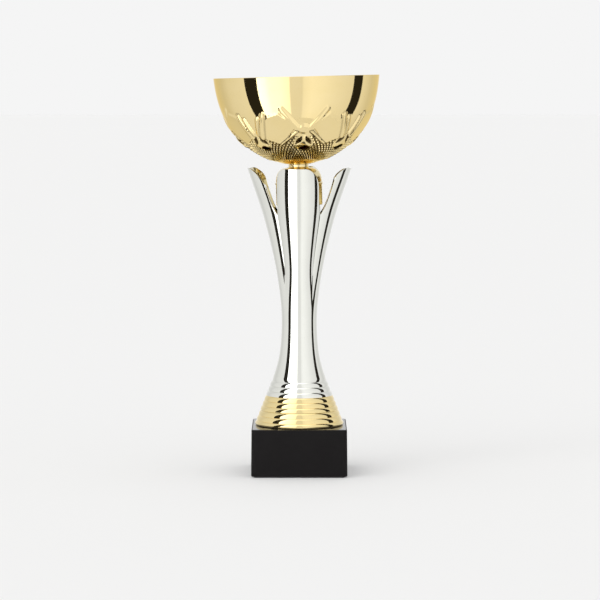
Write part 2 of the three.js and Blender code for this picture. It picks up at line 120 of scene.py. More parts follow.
TIER_HEIGHT = RIB_PITCH * RIBS_PER_TIER
RISER_JOINT = BASE_HEIGHT + TIER_HEIGHT
STEM_FOOT = RISER_JOINT + TIER_HEIGHT
STEM_BODY = STEM_FOOT + TIER_HEIGHT
PETAL_TIPS = STEM_BODY + STEM_BODY_HEIGHT
SLOT_BOTTOM = PETAL_TIPS - PETAL_LENGTH
FLOOR_TOP = SLOT_BOTTOM - FLOOR_DEPTH
COUPLING_TOP = FLOOR_TOP + WASHER_THICKNESS + COUPLING_HEIGHT
BOLT_TIP = COUPLING_TOP - BOLT_ENGAGEMENT
LEAN_PIVOT = COUPLING_TOP - BOLT_ENGAGEMENT / 2
NECK_TOP = PETAL_TIPS + NECK_ABOVE_TIPS
BOWL_SEAT = NECK_TOP + FIT_GAP
GASKET_BOTTOM = BOWL_SEAT + BOWL_WALL + FIT_GAP
BOWL_WASHER_BOTTOM = GASKET_BOTTOM + GASKET_THICKNESS + FIT_GAP
BOLT_HEAD_BOTTOM = BOWL_WASHER_BOTTOM + WASHER_THICKNESS + FIT_GAP
BOWL_FLAT = NECK_RADIUS + 1.7
RIB_FLARE = (CONE_RADIUS - STEM_RADII[0]) / (3 * RIBS_PER_TIER)

MM = 0.001
RIB_LIP = 0.1
TIER_ROUNDING = 0.5
RIB_STEPS = 10
ROUND_STEPS = 144

# ---------------------------------------------------------------- meshes


def new_piece(name, points, faces, crease=35, painted_shade=None):
    """A closed mesh from points in millimetres, smooth except where it turns by more than crease degrees."""
    mesh = bpy.data.meshes.new(name)
    mesh.from_pydata([tuple(p) for p in np.asarray(points) * MM], [], faces)
    # optional share of painted shade and painted dark reflection for each point, kept as a mesh attribute
    if painted_shade is not None:
        mesh.attributes.new("painted_shade", "FLOAT", "POINT").data.foreach_set("value", np.ravel(painted_shade))
    bm = bmesh.new()
    bm.from_mesh(mesh)
    bmesh.ops.remove_doubles(bm, verts=bm.verts, dist=1e-6)
    bmesh.ops.recalc_face_normals(bm, faces=bm.faces)
    bm.to_mesh(mesh)
    bm.free()
    mesh.shade_smooth()
    mesh.set_sharp_from_angle(angle=math.radians(crease))
    piece = bpy.data.objects.new(name, mesh)
    bpy.context.scene.collection.objects.link(piece)
    return piece


def grid_faces(rows, columns, first=0, close_rows=False, close_columns=False):
    """Quads over rows x columns of points that were listed row by row."""
    faces = []
    for i in range(rows if close_rows else rows - 1):
        for j in range(columns if close_columns else columns - 1):
            a, b = i * columns, ((i + 1) % rows) * columns
            k = (j + 1) % columns
            faces.append((first + a + j, first + a + k, first + b + k, first + b + j))
    return faces


def turned(name, outline, steps=ROUND_STEPS, crease=35):
    """A closed outline of [radius, height] points turned round the upright axis."""
    outline = np.array(outline, float)
    angle = np.arange(steps) * 2 * math.pi / steps
    x = outline[:, :1] * np.cos(angle)
    y = outline[:, :1] * np.sin(angle)
    z = np.repeat(outline[:, 1:], steps, axis=1)
    points = np.stack([x, y, z], axis=-1).reshape(-1, 3)
    faces = grid_faces(len(outline), steps, close_rows=True, close_columns=True)
    return new_piece(name, points, faces, crease)


def lean(piece):
    """Leans a piece with the bowl, about the middle of the bolt's thread."""
    pivot = Vector((0, 0, LEAN_PIVOT * MM))
    turn = Matrix.Translation(pivot) @ Matrix.Rotation(BOWL_LEAN, 4, "Y") @ Matrix.Translation(-pivot)
    piece.data.transform(turn)
    return piece


def finished(piece, material, slot, *nodes):
    piece.data.materials.append(material)
    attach(piece, "root")
    if nodes:
        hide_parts(*nodes)
    return piece


def natural_spline(values):
    """A smooth curve through values at even steps of 0..1."""
    n = len(values)
    system = np.eye(n)
    right = np.zeros(n)
    for i in range(1, n - 1):
        system[i, i - 1 : i + 2] = 1, 4, 1
        right[i] = 6 * (values[i - 1] - 2 * values[i] + values[i + 1])
    bend = np.linalg.solve(system, right)

    def at(share):
        place = np.clip(share, 0, 1) * (n - 1)
        i = np.minimum(place.astype(int), n - 2)
        b = place - i
        a = 1 - b
        v = np.array(values, float)
        return a * v[i] + b * v[i + 1] + ((a**3 - a) * bend[i] + (b**3 - b) * bend[i + 1]) / 6

    return at


def arc_points(centre, radius, start, end, steps):
    """Points on an arc of [radius, height] coordinates, angles in degrees."""
    angles = np.radians(np.linspace(start, end, steps + 1))
    return [[centre[0] + radius * math.cos(a), centre[1] + radius * math.sin(a)] for a in angles]


# ---------------------------------------------------------------- materials


class Nodes:
    """Builds a node tree with short calls."""

    def __init__(self, tree):
        self.tree = tree
        tree.nodes.clear()

    def add(self, kind, inputs=None, **settings):
        node = self.tree.nodes.new(kind)
        for key, value in settings.items():
            setattr(node, key, value)
        for key, value in (inputs or {}).items():
            if isinstance(value, bpy.types.NodeSocket):
                self.tree.links.new(value, node.inputs[key])
            else:
                node.inputs[key].default_value = value
        return node

    def math(self, operation, a, b=0.0, c=0.0):
        return self.add("ShaderNodeMath", {0: a, 1: b, 2: c}, operation=operation).outputs[0]

    def ramp(self, value, stops):
        node = self.add("ShaderNodeValToRGB", {"Fac": value})
        elements = node.color_ramp.elements
        while len(elements) < len(stops):
            elements.new(0.5)
        for element, (place, colour) in zip(elements, stops):
            element.position = place
            element.color = (*colour, 1)
        return node.outputs["Color"]

    def noise(self, scale, detail, roughness):
        place = self.add("ShaderNodeTexCoord").outputs["Object"]
        node = self.add(
            "ShaderNodeTexNoise",
            {"Vector": place, "Scale": scale, "Detail": detail, "Roughness": roughness},
        )
        return node.outputs["Fac"]


def surface(name, colours, roughness, grain, waves=None, painted_shade=None, **constant):
    """A procedural finish: colour and roughness wander between two values, over a fine grain bump.

    colours are (dark, light), roughness is (low, high), grain is (scale, depth in metres) and waves are
    the same for the slow unevenness of a moulding or plating. The hollow colour argument is painted shade
    and painted
    reflection: hollows take it where the mesh's attribute of the same name says so, and their glancing
    reflections darken with it.
    """
    material = bpy.data.materials.new(name)
    material.use_nodes = True
    n = Nodes(material.node_tree)
    wander = n.noise(55, 4, 0.6)
    colour = n.ramp(wander, [(0.3, colours[0]), (0.7, colours[1])])
    if painted_shade:
        # painted shade and painted dark reflection, mixed into the base colour and the edge tint
        share = n.add("ShaderNodeAttribute", attribute_name="painted_shade").outputs["Fac"]
        dark = (*painted_shade, 1)
        colour = n.add("ShaderNodeMix", {0: share, 6: colour, 7: dark}, data_type="RGBA").outputs[2]
        edge = constant.pop("Specular Tint")
        edge = n.add("ShaderNodeMix", {0: share, 6: edge, 7: dark}, data_type="RGBA").outputs[2]
        constant["Specular Tint"] = edge
    gloss = n.add(
        "ShaderNodeMapRange",
        {"Value": n.noise(140, 5, 0.65), "To Min": roughness[0], "To Max": roughness[1]},
    )
    bump = n.add(
        "ShaderNodeBump",
        {"Height": n.noise(grain[0], 2, 0.5), "Distance": grain[1], "Strength": 1.0},
    )
    if waves:
        bump = n.add(
            "ShaderNodeBump",
            {
                "Height": n.noise(waves[0], 1, 0.4),
                "Distance": waves[1],
                "Strength": 1.0,
                "Normal": bump.outputs[0],
            },
        )
    shader = n.add(
        "ShaderNodeBsdfPrincipled",
        {"Base Color": colour, "Roughness": gloss.outputs[0], "Normal": bump.outputs[0], **constant},
    )
    n.add("ShaderNodeOutputMaterial", {"Surface": shader.outputs[0]})
    return material


gold_plate = surface(
    "gold_plate",
    ((0.95, 0.765, 0.38), (0.97, 0.79, 0.415)),
    (0.02, 0.06),
    (900, 0.000002),
    (38, 0.00006),
    # painted shade and painted dark reflection for the pattern's hollows and outlines
    painted_shade=(0.055, 0.03, 0.006),
    **{"Metallic": 1.0, "Specular Tint": (0.93, 0.8, 0.5, 1)},
)
gold_plastic = surface(
    "gold_plastic",
    ((0.94, 0.765, 0.38), (0.96, 0.79, 0.41)),
    (0.03, 0.09),
    (1100, 0.000003),
    (45, 0.00004),
    Metallic=1.0,
)
gold_satin = surface(
    "gold_plastic_satin",
    ((0.95, 0.8, 0.45), (0.97, 0.83, 0.48)),
    (0.16, 0.26),
    (1100, 0.000003),
    (45, 0.00004),
    Metallic=1.0,
)
silver_plastic = surface(
    "silver_plastic",
    ((0.865, 0.87, 0.81), (0.895, 0.9, 0.845)),
    (0.03, 0.08),
    (1100, 0.000002),
    (30, 0.00003),
    Metallic=1.0,
)
black_side = surface(
    "black_plastic_satin",
    ((0.004, 0.003, 0.0034), (0.0052, 0.0042, 0.0045)),
    (0.42, 0.56),
    (2600, 0.00002),
    (60, 0.00003),
    **{"Specular IOR Level": 0.16},
)
black_top = surface(
    "black_plastic_polished",
    ((0.0055, 0.005, 0.0055), (0.0075, 0.0068, 0.0072)),
    (0.05, 0.12),
    (2600, 0.000002),
    (60, 0.00001),
    **{"Specular IOR Level": 0.5, "IOR": 1.8},
)
zinc_steel = surface(
    "zinc_steel",
    ((0.56, 0.57, 0.58), (0.7, 0.71, 0.72)),
    (0.22, 0.42),
    (1500, 0.00002),
    (300, 0.00002),
    Metallic=1.0,
)
red_fibre = surface(
    "red_fibre",
    ((0.16, 0.035, 0.02), (0.24, 0.06, 0.035)),
    (0.7, 0.9),
    (2200, 0.00005),
)
black_felt = surface(
    "black_felt",
    ((0.008, 0.008, 0.009), (0.02, 0.02, 0.021)),
    (0.9, 1.0),
    (3000, 0.0002),
    **{"Sheen Weight": 0.3, "Sheen Roughness": 0.5},
)

# ---------------------------------------------------------------- base


def rounded_square(half, corner, steps=8):
    """The outline of a rounded square, as [x, y] points."""
    outline = []
    for turn in (-90, 0, 90, 180):
        side = math.radians(turn + 45)
        centre = (half - corner) * math.sqrt(2) * np.array([math.cos(side), math.sin(side)])
        for angle in np.radians(np.linspace(turn, turn + 90, steps + 1)):
            outline.append([centre[0] + corner * math.cos(angle), centre[1] + corner * math.sin(angle)])
    return np.array(outline)


def base_block():
    """The black block, with rounded edges and a polished top, hollowed from below for the washer and nut."""
    half = BASE_WIDTH / 2
    levels = []
    for angle in np.radians(np.linspace(-90, 0, 7)):
        levels.append((BASE_EDGE * (1 - math.cos(angle)), BASE_EDGE * (1 + math.sin(angle))))
    top = BASE_HEIGHT - PAD_THICKNESS
    for angle in np.radians(np.linspace(0, 90, 7)):
        levels.append((BASE_EDGE * (1 - math.cos(angle)), top - BASE_EDGE * (1 - math.sin(angle))))
    rings = []
    for inset, height in levels:
        side = half - inset - BASE_DRAFT * height / top
        outline = rounded_square(side, max(BASE_CORNER + BASE_EDGE - inset, 0.4))
        rings.append(np.column_stack([outline, np.full(len(outline), height + PAD_THICKNESS)]))
    columns = len(rings[0])
    angle = np.arctan2(rings[0][:, 1], rings[0][:, 0])

    def circle(radius, height):
        return np.column_stack([radius * np.cos(angle), radius * np.sin(angle), np.full(columns, height)])

    recess_top = PAD_THICKNESS + RECESS_DEPTH
    rings.append(circle(HOLE_RADIUS, BASE_HEIGHT))
    rings.append(circle(HOLE_RADIUS, recess_top))
    rings.append(circle(RECESS_RADIUS, recess_top))
    rings.append(circle(RECESS_RADIUS, PAD_THICKNESS))
    points = np.concatenate(rings)
    faces = grid_faces(len(rings), columns, close_rows=True, close_columns=True)
    piece = new_piece("base_block_piece", points, faces, 40)
    finished(piece, black_side, "black_plastic", "base_block")
    piece.data.materials.append(black_top)
    for face in piece.data.polygons:
        centre = face.center / MM
        if centre.z > BASE_HEIGHT - 0.05 and face.normal.z > 0.99:
            face.material_index = 1
    return piece


base_block()

# ---------------------------------------------------------------- risers


def cone_radius(ribs_up):
    return CONE_RADIUS - RIB_FLARE * ribs_up


def ribbed_side(first_rib, bottom):
    """The outside of a tier: each rib stands upright at its foot and leans in towards its top."""
    side = []
    for rib in range(RIBS_PER_TIER):
        lip = TIER_LIP if rib == 0 else RIB_LIP
        foot = cone_radius(first_rib + rib) + lip / 2
        head = cone_radius(first_rib + rib + 1) - TIER_LIP / 2
        for step in range(RIB_STEPS + 1):
            turn = RIB_TURN * step / RIB_STEPS
            rise = math.sin(turn) / math.sin(RIB_TURN)
            inward = (1 - math.cos(turn)) / (1 - math.cos(RIB_TURN))
            side.append([foot + (head - foot) * inward, bottom + RIB_PITCH * (rib + rise)])
    return side


def tier_inside(first_rib, above_foot):
    return cone_radius(first_rib + above_foot / RIB_PITCH) - RISER_WALL


def riser(name, first_rib, bottom, rounding):
    top = bottom + TIER_HEIGHT
    spigot = tier_inside(first_rib + RIBS_PER_TIER, SPIGOT_HEIGHT) - FIT_GAP
    side = [p for p in ribbed_side(first_rib, bottom) if p[1] >= bottom + rounding]
    foot_radius = side[0][0]
    outline = [
        *arc_points((foot_radius - rounding, bottom + rounding), rounding, -90, 0, 6)[:-1],
        *side,
        [spigot, top],
        [spigot, top + SPIGOT_HEIGHT],
        [spigot - RISER_WALL, top + SPIGOT_HEIGHT],
        [spigot - RISER_WALL, top],
        [HOLE_RADIUS, top],
        [HOLE_RADIUS, top - RISER_WALL],
        [tier_inside(first_rib, TIER_HEIGHT - RISER_WALL), top - RISER_WALL],
        [tier_inside(first_rib, 0), bottom],
    ]
    piece = turned(name + "_piece", outline, crease=25)
    return finished(piece, gold_plastic, "gold_plastic", name)


riser("riser_lower", 0, BASE_HEIGHT, FOOT_ROUNDING)
riser("riser_upper", RIBS_PER_TIER, RISER_JOINT, TIER_ROUNDING)

# ---------------------------------------------------------------- stem

stem_radius_at = natural_spline(STEM_RADII)
stem_cornering_at = natural_spline(STEM_CORNERING)
PETAL_COLUMNS = 29


def petal_half_width(heights, corner):
    """How far a petal's side lies from its middle: it opens from a point and is rounded at its tip."""
    half = PETAL_WIDTH / 2
    foot = corner_reach(SLOT_BOTTOM)
    rise = np.clip((heights - SLOT_BOTTOM) / SLOT_FLARE_HEIGHT, 0, 1)
    share = (-2 / 3 + np.sqrt(4 / 9 + 4 / 3 * rise)) / (2 / 3)
    opening = foot * (1 - share) ** 2 + half * (1 - (1 - share) ** 2)
    width, height = corner
    above = np.clip((heights - (PETAL_TIPS - height)) / height, 0, 1)
    return opening - width * (1 - np.sqrt(1 - above**2))


def corner_reach(height):
    """How far across a petal's middle line the point half-way between two petals lies."""
    share = np.asarray((height - STEM_BODY) / STEM_BODY_HEIGHT)
    cornering = np.clip(stem_cornering_at(share), 0, 1)
    return stem_radius_at(share) * (cornering + np.sqrt(2 * (1 - cornering) ** 2 - cornering**2)) / 2


def petal_section(radius, cornering, left, right, shift):
    """Points across one petal, [across, outwards], on the arc of one of four round lobes."""
    rounding = (1 - cornering) * radius
    low, high = (math.asin(np.clip((shift + edge) / rounding, -1, 1)) for edge in (-left, right))
    angle = np.linspace(low, high, PETAL_COLUMNS)
    return np.column_stack([rounding * np.sin(angle), cornering * radius + rounding * np.cos(angle)])


def stem():
    """The ribbed foot, the four-cornered body and the petals, as one shell with a floor inside."""
    side = ribbed_side(2 * RIBS_PER_TIER, STEM_FOOT)
    heights = list(np.linspace(STEM_BODY, SLOT_BOTTOM, 58)[1:])
    corner_height = PETAL_CORNER_RIGHT[1]
    tip_start = PETAL_TIPS - corner_height
    heights += list(SLOT_BOTTOM + SLOT_FLARE_HEIGHT * np.linspace(0, 1, 10)[1:] ** 2)
    heights += list(np.linspace(SLOT_BOTTOM + SLOT_FLARE_HEIGHT, tip_start, 8)[1:])
    heights += list(tip_start + corner_height * np.sin(np.linspace(0, math.pi / 2, 20)[1:]))
    heights = np.array(heights)
    share = (heights - STEM_BODY) / STEM_BODY_HEIGHT
    radii = stem_radius_at(share)
    cornering = np.clip(stem_cornering_at(share), 0, 1)
    lefts, rights = (
        np.where(heights <= SLOT_BOTTOM + 1e-6, corner_reach(heights), petal_half_width(heights, corner))
        for corner in (PETAL_CORNER_LEFT, PETAL_CORNER_RIGHT)
    )
    round_reach = math.sqrt(0.5)

    rows = [(r, 0.0, r * round_reach, r * round_reach, z) for r, z in side]
    rows += list(zip(radii, cornering, lefts, rights, heights))
    slotted = [z > SLOT_BOTTOM + 1e-6 for *_, z in rows]
    outer_count = len(rows)
    inner = []
    for r, c, left, right, z in reversed(rows):
        if z > FLOOR_TOP + 1:
            thinner = (r - STEM_WALL) / r
            inner.append((r - STEM_WALL, c, left * thinner, right * thinner, z))
    floor_share = np.array((FLOOR_TOP - STEM_BODY) / STEM_BODY_HEIGHT)
    floor_radius = float(stem_radius_at(floor_share)) - STEM_WALL
    floor_cornering = float(stem_cornering_at(floor_share))
    full = float(corner_reach(FLOOR_TOP)) / float(stem_radius_at(floor_share))
    inner.append((floor_radius, floor_cornering, floor_radius * full, floor_radius * full, FLOOR_TOP))
    hole_reach = HOLE_RADIUS * round_reach
    inner.append((HOLE_RADIUS, 0.0, hole_reach, hole_reach, FLOOR_TOP))
    inner.append((HOLE_RADIUS, 0.0, hole_reach, hole_reach, FLOOR_TOP - FLOOR_THICKNESS))
    under = np.linspace(FLOOR_TOP - FLOOR_THICKNESS, STEM_BODY, 16)
    under_share = (under - STEM_BODY) / STEM_BODY_HEIGHT
    under_radii = stem_radius_at(under_share)
    under_cornering = np.clip(stem_cornering_at(under_share), 0, 1)
    for r, c, w, z in zip(under_radii, under_cornering, corner_reach(under), under):
        reach = w * (r - STEM_WALL) / r
        inner.append((r - STEM_WALL, c, reach, reach, z))
    foot_inside = tier_inside(2 * RIBS_PER_TIER, 0)
    inner.append((foot_inside, 0.0, foot_inside * round_reach, foot_inside * round_reach, STEM_FOOT))
    loop = rows + inner
    points, faces = [], []
    for petal in range(PETALS):
        turn = STEM_TURN + petal * math.pi / 2
        out = np.array([math.cos(turn), math.sin(turn)])
        along = np.array([-math.sin(turn), math.cos(turn)])
        shift = PETAL_SHIFT * round(along[0])
        first = len(points)
        for r, c, left, right, z in loop:
            opened = min(max((z - SLOT_BOTTOM) / SLOT_FLARE_HEIGHT, 0), 1) if z > FLOOR_TOP + 1 else 0
            section = petal_section(r, c, left, right, shift * opened)
            flat = section[:, :1] * along + section[:, 1:] * out
            points += [(x, y, z) for x, y in flat]
        faces += grid_faces(len(loop), PETAL_COLUMNS, first, close_rows=True)
        for i in range(outer_count - 1):
            if not slotted[i + 1]:
                continue
            j = 2 * outer_count - 1 - i
            for side_column in (0, PETAL_COLUMNS - 1):
                a, b = first + i * PETAL_COLUMNS, first + (i + 1) * PETAL_COLUMNS
                c, d = first + (j - 1) * PETAL_COLUMNS, first + j * PETAL_COLUMNS
                faces.append(tuple(k + side_column for k in (a, b, c, d)))
    piece = new_piece("stem_piece", points, faces, 30)
    round_edges(piece, 0.45, lambda edge: min(v.co.z for v in edge.verts) > (SLOT_BOTTOM - 0.01) * MM)
    return finished(piece, silver_plastic, "silver_plastic", "stem")


def round_edges(piece, radius, wanted, least=50):
    """Rounds the edges that turn by more than least degrees."""
    bm = bmesh.new()
    bm.from_mesh(piece.data)
    sharp = [
        e for e in bm.edges
        if len(e.link_faces) == 2 and e.calc_face_angle(0) > math.radians(least) and wanted(e)
    ]
    bmesh.ops.bevel(
        bm, geom=sharp, offset=radius * MM, segments=3, profile=0.5, affect="EDGES", clamp_overlap=True
    )
    bm.to_mesh(piece.data)
    bm.free()
    piece.data.shade_smooth()
    piece.data.set_sharp_from_angle(angle=math.radians(30))


stem()

# ---------------------------------------------------------------- holder


def bowl_holder():
    """A skirt with a rolled bead, a dome and a neck whose top edge is notched, over a tube for the nut."""
    dome_top = NECK_TOP - NECK_HEIGHT
    bead = dome_top - HOLDER_DOME
    skirt = bead - HOLDER_SKIRT
    sleeve_bottom = FLOOR_TOP + FIT_GAP + SLEEVE_OUTER * math.sin(abs(BOWL_LEAN))

    def dome(shrink):
        start = np.array([HOLDER_RADIUS - shrink, bead + 1])
        pull = np.array([HOLDER_RADIUS - shrink, dome_top - shrink])
        end = np.array([NECK_RADIUS + NECK_FILLET - shrink, dome_top - shrink])
        t = np.linspace(0, 1, 15)[:, None]
        return list((1 - t) ** 2 * start + 2 * t * (1 - t) * pull + t**2 * end)

    bead_round = arc_points((HOLDER_RADIUS, bead), HOLDER_BEAD, -80, 80, 8)
    outline = [
        [HOLDER_RADIUS - 0.3, skirt],
        [HOLDER_RADIUS, skirt + 0.3],
        *bead_round,
        *dome(0),
        *arc_points((NECK_RADIUS + NECK_FILLET, dome_top + NECK_FILLET), NECK_FILLET, 270, 180, 8)[1:],
        [NECK_RADIUS, NECK_TOP - 0.15],
        [NECK_RADIUS - 0.15, NECK_TOP],
        [NECK_RADIUS - NOTCH_SIZE, NECK_TOP],
        [HOLE_RADIUS, NECK_TOP],
        [HOLE_RADIUS, NECK_TOP - NECK_SOLID],
        [SLEEVE_INNER, NECK_TOP - NECK_SOLID],
        [SLEEVE_INNER, sleeve_bottom],
        [SLEEVE_OUTER, sleeve_bottom],
        [SLEEVE_OUTER, dome_top - HOLDER_WALL],
        *dome(HOLDER_WALL)[::-1],
        [HOLDER_RADIUS - HOLDER_WALL, skirt],
    ]
    piece = turned("bowl_holder_piece", outline)
    cut_notches(piece)
    lean(piece)
    return finished(piece, gold_satin, "gold_plastic", "bowl_holder")


def cut_notches(piece):
    """Cuts the small notches round the top of the neck."""
    bm = bmesh.new()
    for notch in range(NECK_NOTCHES):
        turn = Matrix.Rotation(notch * 2 * math.pi / NECK_NOTCHES, 4, "Z")
        place = Matrix.Translation((0, -NECK_RADIUS * MM, NECK_TOP * MM))
        size = Matrix.Diagonal((NOTCH_SIZE * MM, 2 * NOTCH_SIZE * MM, 2 * NOTCH_SIZE * MM, 1))
        bmesh.ops.create_cube(bm, size=1, matrix=turn @ place @ size)
    mesh = bpy.data.meshes.new("notches")
    bm.to_mesh(mesh)
    bm.free()
    cutter = bpy.data.objects.new("notches", mesh)
    bpy.context.scene.collection.objects.link(cutter)
    cut = piece.modifiers.new("notches", "BOOLEAN")
    cut.object = cutter
    cut.operation = "DIFFERENCE"
    cut.solver = "EXACT"
    apply_modifiers(piece)
    bpy.data.objects.remove(cutter)


def apply_modifiers(piece):
    shown = piece.evaluated_get(bpy.context.evaluated_depsgraph_get())
    mesh = bpy.data.meshes.new_from_object(shown)
    piece.modifiers.clear()
    piece.data = mesh
    mesh.set_sharp_from_angle(angle=math.radians(35))


bowl_holder()

# ---------------------------------------------------------------- bowl

STAR = 5.6  # azimuth of one star of the pressed pattern, from the front towards the right
STARS = 4
BOWL_COLUMNS = 576
NET_COLUMNS = 96
NET_PITCH = 6.0
NET_RISE = 1.0
NET_BOTTOM = 4.2
FLUTES = 72
FLUTE_RISE = 0.3


def bowl_radius(height):
    """Radius of the plain bowl at a height above its flat spot."""

    def fill(level):
        return (1 - (1 - level / 2) ** BOWL_FULLNESS) ** (1 / BOWL_ROUNDNESS)

    return BOWL_FLAT + (BOWL_RADIUS - BOWL_FLAT) * fill(height / BOWL_HEIGHT) / fill(1.0)


fine_heights = BOWL_HEIGHT * np.linspace(0, 1, 4001) ** 2
fine_radii = bowl_radius(fine_heights)
fine_arc = np.concatenate([[0], np.cumsum(np.hypot(np.diff(fine_heights), np.diff(fine_radii)))])


def arc_at(height):
    return np.interp(height, fine_heights, fine_arc)


def height_at(arc):
    return np.interp(arc, fine_arc, fine_heights)


def smooth(value, low, high):
    t = np.clip((value - low) / (high - low), 0, 1)
    return t * t * (3 - 2 * t)


class Pattern:
    """The pressed pattern over the bowl for azimuths and arc lengths: its height in millimetres, and how
    much painted shade and painted dark reflection its hollows get, from 0 to 1.

    Places in a motif are (degrees from its middle, height above the bowl's flat spot).
    """

    def __init__(self, azimuth, arc):
        self.azimuth = azimuth
        self.arc = arc
        self.height = height_at(arc)
        self.radius = np.interp(arc, fine_arc, fine_radii)
        self.painted_shade = np.zeros(azimuth.shape)

    # painted shade: keeps the darkest share asked for at each point
    def darken(self, share):
        self.painted_shade = np.maximum(self.painted_shade, share)

    def flat(self, middle, place):
        """Distances across and up the surface from a place in a motif."""
        degrees, height = place
        across = np.radians((self.azimuth - middle - degrees + 180) % 360 - 180) * self.radius
        return across, self.arc - arc_at(height)

    def bar(self, middle, start, end, half_width, rise, taper=1.0, outline=0.0):
        """A rounded bar between two places, with painted shade along its outline."""
        x0, y0 = self.flat(middle, start)
        mean_radius = np.interp(arc_at((start[1] + end[1]) / 2), fine_arc, fine_radii)
        run = np.array([math.radians(end[0] - start[0]) * mean_radius, arc_at(end[1]) - arc_at(start[1])])
        length = math.hypot(*run)
        share = np.clip((x0 * run[0] + y0 * run[1]) / length**2, 0, 1)
        away = np.hypot(x0 - share * run[0], y0 - share * run[1])
        away /= half_width * (1 + (taper - 1) * share)
        self.darken(outline * smooth(away, 0.55, 0.8) * (1 - smooth(away, 1.05, 1.3)))
        return rise * np.clip(1 - away**2, 0, 1) ** 0.75

    def leaf(self, middle, place, half_length, half_width, tilt, depth):
        """A leaf-shaped hollow with painted shade inside it, tilt in degrees from the horizontal."""
        x, y = self.flat(middle, place)
        c, s = math.cos(math.radians(tilt)), math.sin(math.radians(tilt))
        along, across = x * c + y * s, y * c - x * s
        half = half_width * np.clip(1 - (along / half_length) ** 2, 0, 1)
        away = np.abs(across) / np.maximum(half, 1e-3) + (half < 1e-3)
        self.darken(0.96 * (1 - smooth(away, 0.7, 1.0)))
        return depth * np.clip(1 - away, 0, 1)

    def mound(self, middle, place, half_width, half_height, rise):
        x, y = self.flat(middle, place)
        away = np.hypot(x / half_width, y / half_height)
        return rise * (1 - smooth(away, 0.45, 1.0))

    def panel(self, middle, corners, rise, flatness):
        """A raised plate with straight sides, flatter than the bowl round it: its height and its mask."""
        centre = np.mean(corners, axis=0)
        x, y = self.flat(middle, centre)
        centre_radius = np.interp(arc_at(centre[1]), fine_arc, fine_radii)
        outline = [
            (math.radians(a - centre[0]) * centre_radius, arc_at(h) - arc_at(centre[1])) for a, h in corners
        ]
        x = x * centre_radius / np.maximum(self.radius, 1)
        inside = np.full(x.shape, 1e9)
        turning = sum(
            p[0] * q[1] - q[0] * p[1] for p, q in zip(outline, outline[1:] + outline[:1])
        )
        for p, q in zip(outline, outline[1:] + outline[:1]):
            ex, ey = q[0] - p[0], q[1] - p[1]
            distance = (ex * (y - p[1]) - ey * (x - p[0])) / math.hypot(ex, ey)
            inside = np.minimum(inside, distance * math.copysign(1, turning))
        mask = smooth(inside, -0.3, 0.5)
        bow = (x**2 + y**2) / (2 * BOWL_RADIUS)
        return mask * (rise + flatness * (bow - 0.6)), mask

    def net(self, keep):
        """Small raised diamonds in crossing rows, with painted shade in the grooves."""
        column = self.azimuth / 360 * NET_COLUMNS
        bottom = arc_at(NET_BOTTOM)
        row = (self.arc - bottom) / NET_PITCH
        a = np.abs(((column + row) % 1) - 0.5) * 2
        b = np.abs(((column - row) % 1) - 0.5) * 2
        stud = np.minimum(a, b)
        keep = keep * smooth(self.arc, bottom - 0.6, bottom + 0.6)
        self.darken(0.95 * (1 - smooth(stud, 0.25, 0.5)) * smooth(keep, 0.4, 0.9))
        return NET_RISE * smooth(stud, 0.05, 0.85) * keep

    def total(self, net_share=1.0):
        """The whole pattern's height; net_share makes the net and the flutes fainter."""
        plates = np.zeros(self.azimuth.shape)
        keep_net = np.ones(self.azimuth.shape)
        raised = np.zeros(self.azimuth.shape)
        for k in range(STARS):
            star = STAR + 360 / STARS * k
            finger = star + 180 / STARS
            for side in (-1, 1):
                corners = [
                    (side * 7.0, 32.2),
                    (side * 20.0, 43.8),
                    (side * 30.5, 40.5),
                    (side * 39.0, 23.5),
                    (side * 20.8, 17.6),
                ]
                plate, mask = self.panel(star, corners, 0.45, 0.7)
                plates += plate
                keep_net *= 1 - mask
                shapes = [
                    self.bar(star, (side * 5.0, 30.0), (side * 18.2, 46.5), 3.0, 1.0, 0.75),
                    self.bar(star, (side * 6.5, 28.0), (side * 20.5, 18.2), 1.6, 1.0, 1.0, 0.85),
                    self.bar(finger, (side * 5.5, 23.5), (side * 12.6, 41.5), 2.9, 1.7, 0.85, 0.35),
                    self.bar(finger, (side * 3.0, 26.0), (side * 6.8, 38.5), 2.3, 1.5, 0.9),
                ]
                raised = np.maximum.reduce([raised, *shapes])
            raised = np.maximum(raised, self.mound(star, (0, 30.0), 6.5, 5.5, 0.9))
            for middle in (star, finger):
                mound = self.mound(middle, (0, 18.6), 9.5, 10.5, 1.6)
                for side in (-1, 1):
                    mound -= self.leaf(middle, (side * 4.6, 21.2), 5.4, 2.2, side * -58, 1.6)
                mound -= self.leaf(middle, (1.6, 15.0), 5.0, 4.8, 0, 0.6)
                raised = np.maximum(raised, mound)
        boundary = smooth(self.net_top() - self.height, -0.4, 0.4)
        keep_net *= boundary * (1 - smooth(raised, 0.15, 0.5))
        lift = plates * (1 - smooth(raised, 0.1, 0.6)) + net_share * self.net(keep_net)
        flutes = FLUTE_RISE * np.abs(np.sin(np.radians(self.azimuth) * FLUTES / 2))
        foot = arc_at(NET_BOTTOM)
        flutes *= smooth(self.arc, foot - 5.0, foot - 3.0) * (1 - smooth(self.arc, foot - 1.2, foot))
        lift += net_share * flutes
        return lift + raised

    def net_top(self):
        """Height above the flat spot at which the net gives way to the panels, by azimuth."""
        from_star = (self.azimuth - STAR + 45) % 90 - 45
        return np.interp(np.abs(from_star), [0, 8, 20.8, 39, 45], [24.5, 24.5, 17.6, 23.5, 22.5])


